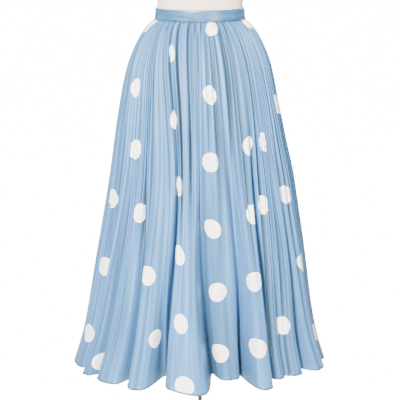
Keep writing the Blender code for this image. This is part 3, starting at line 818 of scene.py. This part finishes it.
def crinkle_group():
    """Fine creases that pressing leaves along the pleats, and the thread of the satin."""
    group, given, result = new_group(
        "crinkled_satin",
        [("Cloth", VECTOR, None), ("Way", VECTOR, None), ("Crinkle", FLOAT, 1.0), ("Weave", FLOAT, 0.15)],
        [("Height", FLOAT), ("Shade", FLOAT), ("Line", FLOAT)],
    )
    way, cloth = given.outputs["Way"], given.outputs["Cloth"]
    wide = stretched_noise(group, way, detail=2.0, along=2.6, across=4.2)
    fine = stretched_noise(group, way, detail=3.0, along=6.0, across=11.0)
    thread = stretched_noise(group, cloth, detail=1.0, along=900.0, across=2600.0)
    slow = stretched_noise(group, way, detail=1.0, along=1.3, across=1.1)
    creases = math_node(group, "MULTIPLY_ADD", fine, FINE_HEIGHT, wide)
    hairline = thin_line(group, slow, HAIRLINE_SHARPNESS)
    creases = math_node(group, "MULTIPLY_ADD", hairline, HAIRLINE_HEIGHT, creases)
    creases = math_node(group, "MULTIPLY", creases, given.outputs["Crinkle"])
    threads = math_node(group, "MULTIPLY", thread, given.outputs["Weave"])
    group.links.new(math_node(group, "ADD", creases, threads), result.inputs["Height"])

    cloud = stretched_noise(group, way, detail=3.0, along=3.0, across=1.6)
    streak = stretched_noise(group, way, detail=2.0, along=2.2, across=3.6)
    faded = math_node(group, "MULTIPLY", split(group, way)["Y"], STREAK_FADE)
    upper = math_node(group, "SUBTRACT", 1.0, faded)
    streak = math_node(group, "MULTIPLY_ADD", streak, STREAK_GAIN, -STREAK_GAIN / 2)
    streak = math_node(group, "MULTIPLY", streak, upper)
    group.links.new(clamp(group, math_node(group, "ADD", cloud, streak)), result.inputs["Shade"])
    # painted shade: darker lines along the creases, longer and closer than the hairlines
    drawn = stretched_noise(group, way, detail=1.0, along=0.9, across=2.6)
    line = math_node(group, "MULTIPLY", thin_line(group, drawn, DRAWN_SHARPNESS), upper)
    group.links.new(line, result.inputs["Line"])
    return group


CRINKLE = crinkle_group()
print(CRINKLE.name, "with", len(CRINKLE.nodes), "nodes")

# %% [markdown]
# A finish puts its groups together. It reads the maps and attributes that its piece carries,
# mixes its colours by them, and turns the heights into bumps of the surface.

# %% Helpers for finishes
def uv_map(tree, name):
    node = tree.nodes.new("ShaderNodeUVMap")
    node.uv_map = name
    return node.outputs[0]


def attribute(tree, name):
    node = tree.nodes.new("ShaderNodeAttribute")
    node.attribute_name = name
    return node.outputs["Fac"]


def add_bump(tree, shader, height, distance, strength):
    bump = tree.nodes.new("ShaderNodeBump")
    bump.inputs["Distance"].default_value = distance
    bump.inputs["Strength"].default_value = strength
    tree.links.new(height, bump.inputs["Height"])
    tree.links.new(bump.outputs[0], shader.inputs["Normal"])


def set_sheen(shader, weight, roughness, specular):
    shader.inputs["Sheen Weight"].default_value = weight
    shader.inputs["Sheen Roughness"].default_value = roughness
    shader.inputs["Specular IOR Level"].default_value = specular


def add_group(tree, group, values, vector=None, vector_name="Cloth"):
    node = tree.nodes.new("ShaderNodeGroup")
    node.node_tree = group
    for name, value in values.items():
        node.inputs[name].default_value = value
    if vector is not None:
        tree.links.new(vector, node.inputs[vector_name])
    return node


def mix_colour(tree, factor, first, second):
    node = tree.nodes.new("ShaderNodeMix")
    node.data_type = "RGBA"
    for socket, value in ((node.inputs[0], factor), (node.inputs[6], first), (node.inputs[7], second)):
        if isinstance(value, bpy.types.NodeSocket):
            tree.links.new(value, socket)
        elif isinstance(value, tuple):
            socket.default_value = (*value, 1.0)
        else:
            socket.default_value = value
    return node.outputs[2]


# %% [markdown]
# The satin has a soft, broad gloss and a faint bloom where it turns away from the eye. Its
# blue shifts a little towards lilac from pleat to pleat, as pressed satin does, and painted
# shade darkens it in the valleys and along drawn crease lines. The rolled hem is the same
# cloth twice over and is painted darker, as painted shade along its edge, with a row of
# stitches above it.

# %% Satin for the skirt
SKY_BLUE = (0.036, 0.113, 0.212)
LILAC_BLUE = (0.075, 0.226, 0.475)
# painted shade: the dark blue painted into the valleys and along the crease lines
PAINTED_SHADE_BLUE = (0.024, 0.047, 0.070)
VALLEY_POWER = 1.5  # keeps the painted shade narrow, at the bottom of a valley
# how much painted shade a drawn crease line gets
CREASE_SHADE_SHARE = 0.55
OFF_WHITE = (0.86, 0.82, 0.77)
DOT_TINT = (0.78, 0.69, 0.60)
DOT_TINT_SHARE = 0.6
DOT_EDGE = (0.90, 0.92, 0.93)
DOT_RADIUS = 0.0248
# painted shade along the rolled hem's edge, over its last few millimetres
HEM_SHADE_BLUE = (0.03, 0.07, 0.11)
HEM_ROLL_HIGH = 0.0062
HEM_ROLL_EDGE = 3.0
THREAD_BLUE = (0.05, 0.13, 0.24)
STITCH_ROW = 0.0070  # above the hem's edge
STITCH_THICK = 0.0004
STITCH_PITCH = 0.0026
STITCH_SHARE = 0.72
SATIN_SMOOTH, SATIN_SPREAD = 0.40, 0.12  # roughness: the least, and what the tone adds


def skirt_blue(tree, shade, line):
    """Sky blue to lilac by the tone, with painted shade along drawn crease lines and in valleys."""
    blue = mix_colour(tree, shade, SKY_BLUE, LILAC_BLUE)
    # painted shade along the drawn crease lines
    blue = mix_colour(tree, math_node(tree, "MULTIPLY", line, CREASE_SHADE_SHARE), blue, PAINTED_SHADE_BLUE)
    # painted shade at the bottom of the valleys
    narrow = math_node(tree, "POWER", attribute(tree, "valley_painted_shade"), VALLEY_POWER)
    return mix_colour(tree, narrow, blue, PAINTED_SHADE_BLUE)


def dot_white(tree, shade, rim):
    """The print's off-white, a cleaner white in the ring along its edge."""
    white = mix_colour(tree, math_node(tree, "MULTIPLY", shade, DOT_TINT_SHARE), OFF_WHITE, DOT_TINT)
    return mix_colour(tree, rim, white, DOT_EDGE)


def hem_colour(tree, cloth, printed):
    """The roll painted darker, a painted shade along the rolled edge, and a row of stitches: a thin line,
    broken up along the cloth.
    """
    from_hem = attribute(tree, "from_hem")
    roll = math_node(tree, "SUBTRACT", 1.0, math_node(tree, "DIVIDE", from_hem, HEM_ROLL_HIGH))
    roll = clamp(tree, math_node(tree, "MULTIPLY", roll, HEM_ROLL_EDGE))
    coloured = mix_colour(tree, roll, printed, HEM_SHADE_BLUE)
    to_row = math_node(tree, "ABSOLUTE", math_node(tree, "SUBTRACT", from_hem, STITCH_ROW))
    on_row = math_node(tree, "LESS_THAN", to_row, STITCH_THICK / 2)
    along = math_node(tree, "FRACT", math_node(tree, "DIVIDE", split(tree, cloth)["X"], STITCH_PITCH))
    stitch = math_node(tree, "MULTIPLY", on_row, math_node(tree, "LESS_THAN", along, STITCH_SHARE))
    return mix_colour(tree, stitch, coloured, THREAD_BLUE)


def skirt_satin():
    made, tree, shader = new_material("dotted_satin")
    cloth = uv_map(tree, "flat_cloth")
    crinkle = add_group(tree, CRINKLE, {"Crinkle": 1.5, "Weave": 0.10}, cloth)
    tree.links.new(uv_map(tree, "pleat_way"), crinkle.inputs["Way"])
    dots = add_group(tree, DOTS, {"Radius": DOT_RADIUS}, uv_map(tree, "from_dot"), "From dot")
    shade = crinkle.outputs["Shade"]
    blue = skirt_blue(tree, shade, crinkle.outputs["Line"])
    white = dot_white(tree, shade, dots.outputs["Rim"])
    printed = mix_colour(tree, dots.outputs["Dot"], blue, white)
    tree.links.new(hem_colour(tree, cloth, printed), shader.inputs["Base Color"])
    rough = math_node(tree, "MULTIPLY_ADD", shade, SATIN_SPREAD, SATIN_SMOOTH)
    tree.links.new(rough, shader.inputs["Roughness"])
    add_bump(tree, shader, crinkle.outputs["Height"], distance=0.0012, strength=0.6)
    set_sheen(shader, weight=0.04, roughness=0.4, specular=0.32)
    return made


dotted_satin = skirt_satin()

# %% Sew the three panels
front = panel("skirt_front_cloth", -90.0, 90.0, front_dots(), dotted_satin)
back_left = panel("skirt_back_left_cloth", 90.0, 180.0, repeat_dots(), dotted_satin)
back_right = panel("skirt_back_right_cloth", -180.0, -90.0, repeat_dots(), dotted_satin)
for piece, node in ((front, "skirt_front"), (back_left, "skirt_back_left"), (back_right, "skirt_back_right")):
    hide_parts(node)
    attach(piece, FORM_BODY)

# %% [markdown]
# ## Waistband
#
# The band is one strip of plain satin, folded double over a stiff lining and sewn round the
# waist. Its edges are round and it swells a little between them, so the table below holds
# its section, which is carried once round the form to the opening at the centre back.

# %% The form under the band
# width and depth are half of the form's at a height; forward: where its middle lies
FORM_COLUMNS = ("height", "width", "depth", "forward")
FORM = (
    (0.925, 0.1320, 0.0880, 0.000),
    (0.932, 0.1480, 0.1020, 0.000),
    (0.955, 0.1580, 0.1120, 0.000),
    (0.995, 0.1600, 0.1150, 0.000),
    (1.045, 0.1490, 0.1080, 0.000),
    (1.090, 0.1300, 0.0950, 0.000),
    (1.123, 0.1190, 0.0848, 0.000),
    (1.183, 0.1130, 0.0806, 0.000),
    (1.210, 0.1185, 0.0850, 0.001),
    (1.255, 0.1310, 0.0960, 0.004),
    (1.315, 0.1430, 0.1090, 0.009),
    (1.375, 0.1500, 0.1130, 0.010),
    (1.445, 0.1600, 0.1020, 0.004),
    (1.510, 0.1680, 0.0840, 0.000),
    (1.545, 0.1560, 0.0720, -0.002),
    (1.570, 0.1250, 0.0640, -0.003),
    (1.587, 0.0880, 0.0580, -0.003),
    (1.601, 0.0640, 0.0540, -0.003),
    (1.660, 0.0540, 0.0500, -0.003),
)


def form_column(name):
    return column(FORM, FORM_COLUMNS, name)


print(len(FORM), "rows, the widest", form_column("width").max(), "m to each side")

# %% Waistband
BAND_HEIGHT = 0.030
BAND_CLOTH = 0.0030
BAND_FIT = 0.0004
BAND_STEPS = 220
BAND_FLAT_AT_BACK = 8.0  # degrees to each side of the opening
BAND_RIPPLE = 0.00018
RIPPLE_WAVES = 7
# out: share of the band's thickness, from the form outwards; up: share of its height
BAND_SECTION = (
    (0.50, 0.000), (0.82, 0.012), (1.00, 0.045), (1.02, 0.180), (1.04, 0.500), (1.02, 0.820),
    (1.00, 0.955), (0.82, 0.988), (0.50, 1.000), (0.18, 0.988), (0.00, 0.955), (0.00, 0.500),
    (0.00, 0.045), (0.18, 0.012),
)
OUTER_FACE = 0.9  # rows of the section that lie further out than this ripple


def waistband_cloth(name, finish):
    slit = math.degrees(GAP / 2 / outline(0.0, "depth"))
    azimuths = np.linspace(-180 + slit, 180 - slit, BAND_STEPS + 1)
    swell = ramp((180 - abs(azimuths)) / BAND_FLAT_AT_BACK)
    around = np.radians(azimuths)
    rows = []
    for out, up in BAND_SECTION:
        height = seam_height(azimuths) + up * BAND_HEIGHT
        ripple = BAND_RIPPLE * np.sin(RIPPLE_WAVES * around + 1.0 + 2 * up) * np.sin(math.pi * up)
        thick = np.where(out > 1, 1 + (out - 1) * swell, out)
        grown = BAND_FIT + (thick * BAND_CLOTH + (ripple * swell if out > OUTER_FACE else 0.0))
        width = np.interp(height, form_column("height"), form_column("width")) + grown
        depth = np.interp(height, form_column("height"), form_column("depth")) + grown
        rows.append(np.stack([width * np.sin(around), -depth * np.cos(around), height], -1))
    points = np.array(rows)
    count, steps = points.shape[:2]
    faces = []
    for r in range(count):
        below, above = r * steps, (r + 1) % count * steps
        faces += [(below + c, below + c + 1, above + c + 1, above + c) for c in range(steps - 1)]
    faces.append([r * steps for r in range(count)])
    faces.append([r * steps + steps - 1 for r in reversed(range(count))])
    mesh = bpy.data.meshes.new(name)
    mesh.from_pydata(points.reshape(-1, 3).tolist(), [], faces)
    mesh.update()
    outermost = points[BAND_SECTION.index(max(BAND_SECTION))]
    arc = np.concatenate([[0.0], np.cumsum(np.linalg.norm(np.diff(outermost, axis=0), axis=1))])
    flat = np.array([(along, up * BAND_HEIGHT) for _, up in BAND_SECTION for along in arc])
    vertex_map(mesh, "flat_cloth", flat)
    print(name, "round the waist", round(float(arc[-1]), 3), "m")
    return sewn_piece(name, mesh, finish)


# %% Satin for the band
BAND_BLUE = (0.015, 0.062, 0.118)
BAND_PALE = (0.034, 0.118, 0.222)
BAND_TONE = (7.0, 55.0, 1.0)  # how fast the tone turns over along, up and through the band
BAND_SMOOTH, BAND_SPREAD = 0.30, 0.10


def band_satin():
    made, tree, shader = new_material("band_satin")
    cloth = uv_map(tree, "flat_cloth")
    crinkle = add_group(tree, CRINKLE, {"Crinkle": 0.25, "Weave": 0.12}, cloth)
    wide = tree.nodes.new("ShaderNodeMapping")
    wide.inputs["Scale"].default_value = BAND_TONE
    tree.links.new(cloth, wide.inputs["Vector"])
    tree.links.new(wide.outputs[0], crinkle.inputs["Way"])
    shade = crinkle.outputs["Shade"]
    tree.links.new(mix_colour(tree, shade, BAND_BLUE, BAND_PALE), shader.inputs["Base Color"])
    rough = math_node(tree, "MULTIPLY_ADD", shade, BAND_SPREAD, BAND_SMOOTH)
    tree.links.new(rough, shader.inputs["Roughness"])
    add_bump(tree, shader, crinkle.outputs["Height"], distance=0.0006, strength=0.4)
    set_sheen(shader, weight=0.1, roughness=0.4, specular=0.45)
    return made


band = waistband_cloth("waistband_cloth", band_satin())
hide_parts("waistband")
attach(band, FORM_BODY)

# %% [markdown]
# ## Dress form
#
# The form is a moulded body with an ivory jersey cover. One ring of vertices is enough to
# start it: the ring is extruded upwards level by level, and resized at each level to the
# width and the depth in the table.

# %% Dress form
FORM_STEPS = 96
FORM_RING_GAP = 0.012
SMOOTH_ANGLE = math.radians(50)


def form_levels():
    listed = form_column("height")
    levels = [listed[0]]
    for low, high in zip(listed, listed[1:]):
        count = max(1, round((high - low) / FORM_RING_GAP))
        levels += [low + (high - low) * (k + 1) / count for k in range(count)]
    return np.array(levels)


def form_cover(name, finish):
    levels = form_levels()
    width, depth, forward = (
        smooth_through(levels, form_column("height"), form_column(n)) for n in ("width", "depth", "forward")
    )
    bpy.ops.object.select_all(action="DESELECT")
    bpy.ops.mesh.primitive_circle_add(
        vertices=FORM_STEPS, radius=1.0, fill_type="NGON", location=(0.0, -forward[0], levels[0])
    )
    made = bpy.context.object
    made.name = name
    bpy.ops.object.mode_set(mode="EDIT")
    bpy.ops.mesh.select_all(action="SELECT")
    bpy.ops.transform.resize(value=(width[0], depth[0], 1.0), center_override=(0.0, -forward[0], levels[0]))
    for k in range(1, len(levels)):
        rise = (0.0, forward[k - 1] - forward[k], levels[k] - levels[k - 1])
        bpy.ops.mesh.extrude_region_move(TRANSFORM_OT_translate={"value": rise})
        bpy.ops.transform.resize(
            value=(width[k] / width[k - 1], depth[k] / depth[k - 1], 1.0),
            center_override=(0.0, -forward[k], levels[k]),
        )
    bpy.ops.mesh.select_all(action="SELECT")
    bpy.ops.mesh.normals_make_consistent(inside=False)
    bpy.ops.object.mode_set(mode="OBJECT")
    bpy.ops.object.transform_apply(location=True, rotation=True, scale=True)
    bpy.ops.object.shade_smooth_by_angle(angle=SMOOTH_ANGLE)
    made.data.materials.clear()
    made.data.materials.append(finish)
    print(name, len(levels), "rings, box", [round(v, 3) for v in made.dimensions])
    return made


# %% [markdown]
# Jersey is knitted: fine upright ribs, each a chain of small loops. Both follow the form
# round, so the ribs are counted by the angle and the loops by the height. The tone is a
# little uneven, with fine specks where the thread has pilled.

# %% Jersey
IVORY = (0.78, 0.585, 0.47)
IVORY_SHADE = (0.70, 0.50, 0.39)
RIBS = 420
LOOP_HEIGHT = 0.0019
LOOP_DEPTH = 0.35  # loops and pills, as shares of the ribs' depth
PILL_DEPTH = 1.2
JERSEY_SMOOTH, JERSEY_SPREAD = 0.82, 0.1


def jersey():
    made, tree, shader = new_material("form_jersey")
    place = tree.nodes.new("ShaderNodeTexCoord").outputs["Object"]
    apart = split(tree, place)
    turn = math_node(tree, "ARCTAN2", apart["X"], apart["Y"])
    ribs = math_node(tree, "SINE", math_node(tree, "MULTIPLY", turn, RIBS))
    loops = math_node(tree, "SINE", math_node(tree, "MULTIPLY", apart["Z"], 2 * math.pi / LOOP_HEIGHT))
    knit = math_node(tree, "MULTIPLY_ADD", loops, LOOP_DEPTH, ribs)
    tone = stretched_noise(tree, place, detail=3.0, along=9.0, across=14.0)
    pills = stretched_noise(tree, place, detail=2.0, along=420.0, across=420.0)
    uneven = math_node(tree, "MULTIPLY", tone, pills)
    tree.links.new(mix_colour(tree, uneven, IVORY, IVORY_SHADE), shader.inputs["Base Color"])
    rough = math_node(tree, "MULTIPLY_ADD", tone, JERSEY_SPREAD, JERSEY_SMOOTH)
    tree.links.new(rough, shader.inputs["Roughness"])
    height = math_node(tree, "MULTIPLY_ADD", pills, PILL_DEPTH, knit)
    add_bump(tree, shader, height, distance=0.0004, strength=0.35)
    set_sheen(shader, weight=0.25, roughness=0.5, specular=0.25)
    return made


cover = form_cover("form_torso_cover", jersey())
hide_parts("form_torso")
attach(cover, FORM_BODY)

# %% [markdown]
# ## Metal
#
# The stand is turned from brass that has gone dark and olive with age. Its tone is cloudy,
# it is duller where the cloud is dark, and turning has left fine rings. The zip's slider
# and pull are lacquered to match the cloth. Both finishes share one group.

# %% Turned and handled metal
SPECK_GAIN, SPECK_CUT = 6.0, -3.7  # only the highest peaks of a fine noise are left as specks
SPECK_DARK = 0.6
TURNING_WAVES = 9000.0  # radians to a metre, which is a ring each 0.7 mm
CLOUD_HEIGHT = 0.6


def metal_group():
    group, given, result = new_group(
        "handled_metal",
        [("Place", VECTOR, None), ("Cloud size", FLOAT, 30.0), ("Turning", FLOAT, 0.5)],
        [("Cloud", FLOAT), ("Speck", FLOAT), ("Height", FLOAT)],
    )
    place = given.outputs["Place"]
    cloud = group.nodes.new("ShaderNodeTexNoise")
    cloud.inputs["Detail"].default_value = 4.0
    group.links.new(place, cloud.inputs["Vector"])
    group.links.new(given.outputs["Cloud size"], cloud.inputs["Scale"])
    speck = stretched_noise(group, place, detail=2.0, along=700.0, across=700.0)
    speck = clamp(group, math_node(group, "MULTIPLY_ADD", speck, SPECK_GAIN, SPECK_CUT))
    rings = math_node(group, "SINE", math_node(group, "MULTIPLY", split(group, place)["Z"], TURNING_WAVES))
    rings = math_node(group, "MULTIPLY", rings, given.outputs["Turning"])
    height = math_node(group, "MULTIPLY_ADD", cloud.outputs["Fac"], CLOUD_HEIGHT, rings)
    group.links.new(cloud.outputs["Fac"], result.inputs["Cloud"])
    group.links.new(speck, result.inputs["Speck"])
    group.links.new(height, result.inputs["Height"])
    return group


METAL = metal_group()


def handled_metal(name, bright, dark, metallic, smooth, rough, cloud_size, turning):
    made, tree, shader = new_material(name)
    place = tree.nodes.new("ShaderNodeTexCoord").outputs["Object"]
    surface = add_group(tree, METAL, {"Cloud size": cloud_size, "Turning": turning}, place, "Place")
    cloud = surface.outputs["Cloud"]
    colour = mix_colour(tree, cloud, bright, dark)
    specks = math_node(tree, "MULTIPLY", surface.outputs["Speck"], SPECK_DARK)
    tree.links.new(mix_colour(tree, specks, colour, dark), shader.inputs["Base Color"])
    shader.inputs["Metallic"].default_value = metallic
    tree.links.new(math_node(tree, "MULTIPLY_ADD", cloud, rough - smooth, smooth), shader.inputs["Roughness"])
    add_bump(tree, shader, surface.outputs["Height"], distance=0.0002, strength=0.25)
    return made


def refinish(nodes, finish):
    for name in nodes:
        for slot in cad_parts[name].material_slots:
            slot.material = finish


aged_brass = handled_metal(
    "aged_brass", bright=(0.17, 0.155, 0.10), dark=(0.07, 0.063, 0.04),
    metallic=1.0, smooth=0.28, rough=0.62, cloud_size=34.0, turning=0.5,
)
lacquer = handled_metal(
    "blue_lacquer", bright=(0.20, 0.33, 0.47), dark=(0.14, 0.25, 0.38),
    metallic=0.0, smooth=0.22, rough=0.40, cloud_size=220.0, turning=0.0,
)
refinish(("form_neck_cap", "stand_flange", "stand_pole", "stand_base"), aged_brass)
refinish(("zip_slider", "zip_pull"), lacquer)
print("finished", aged_brass.name, "and", lacquer.name)
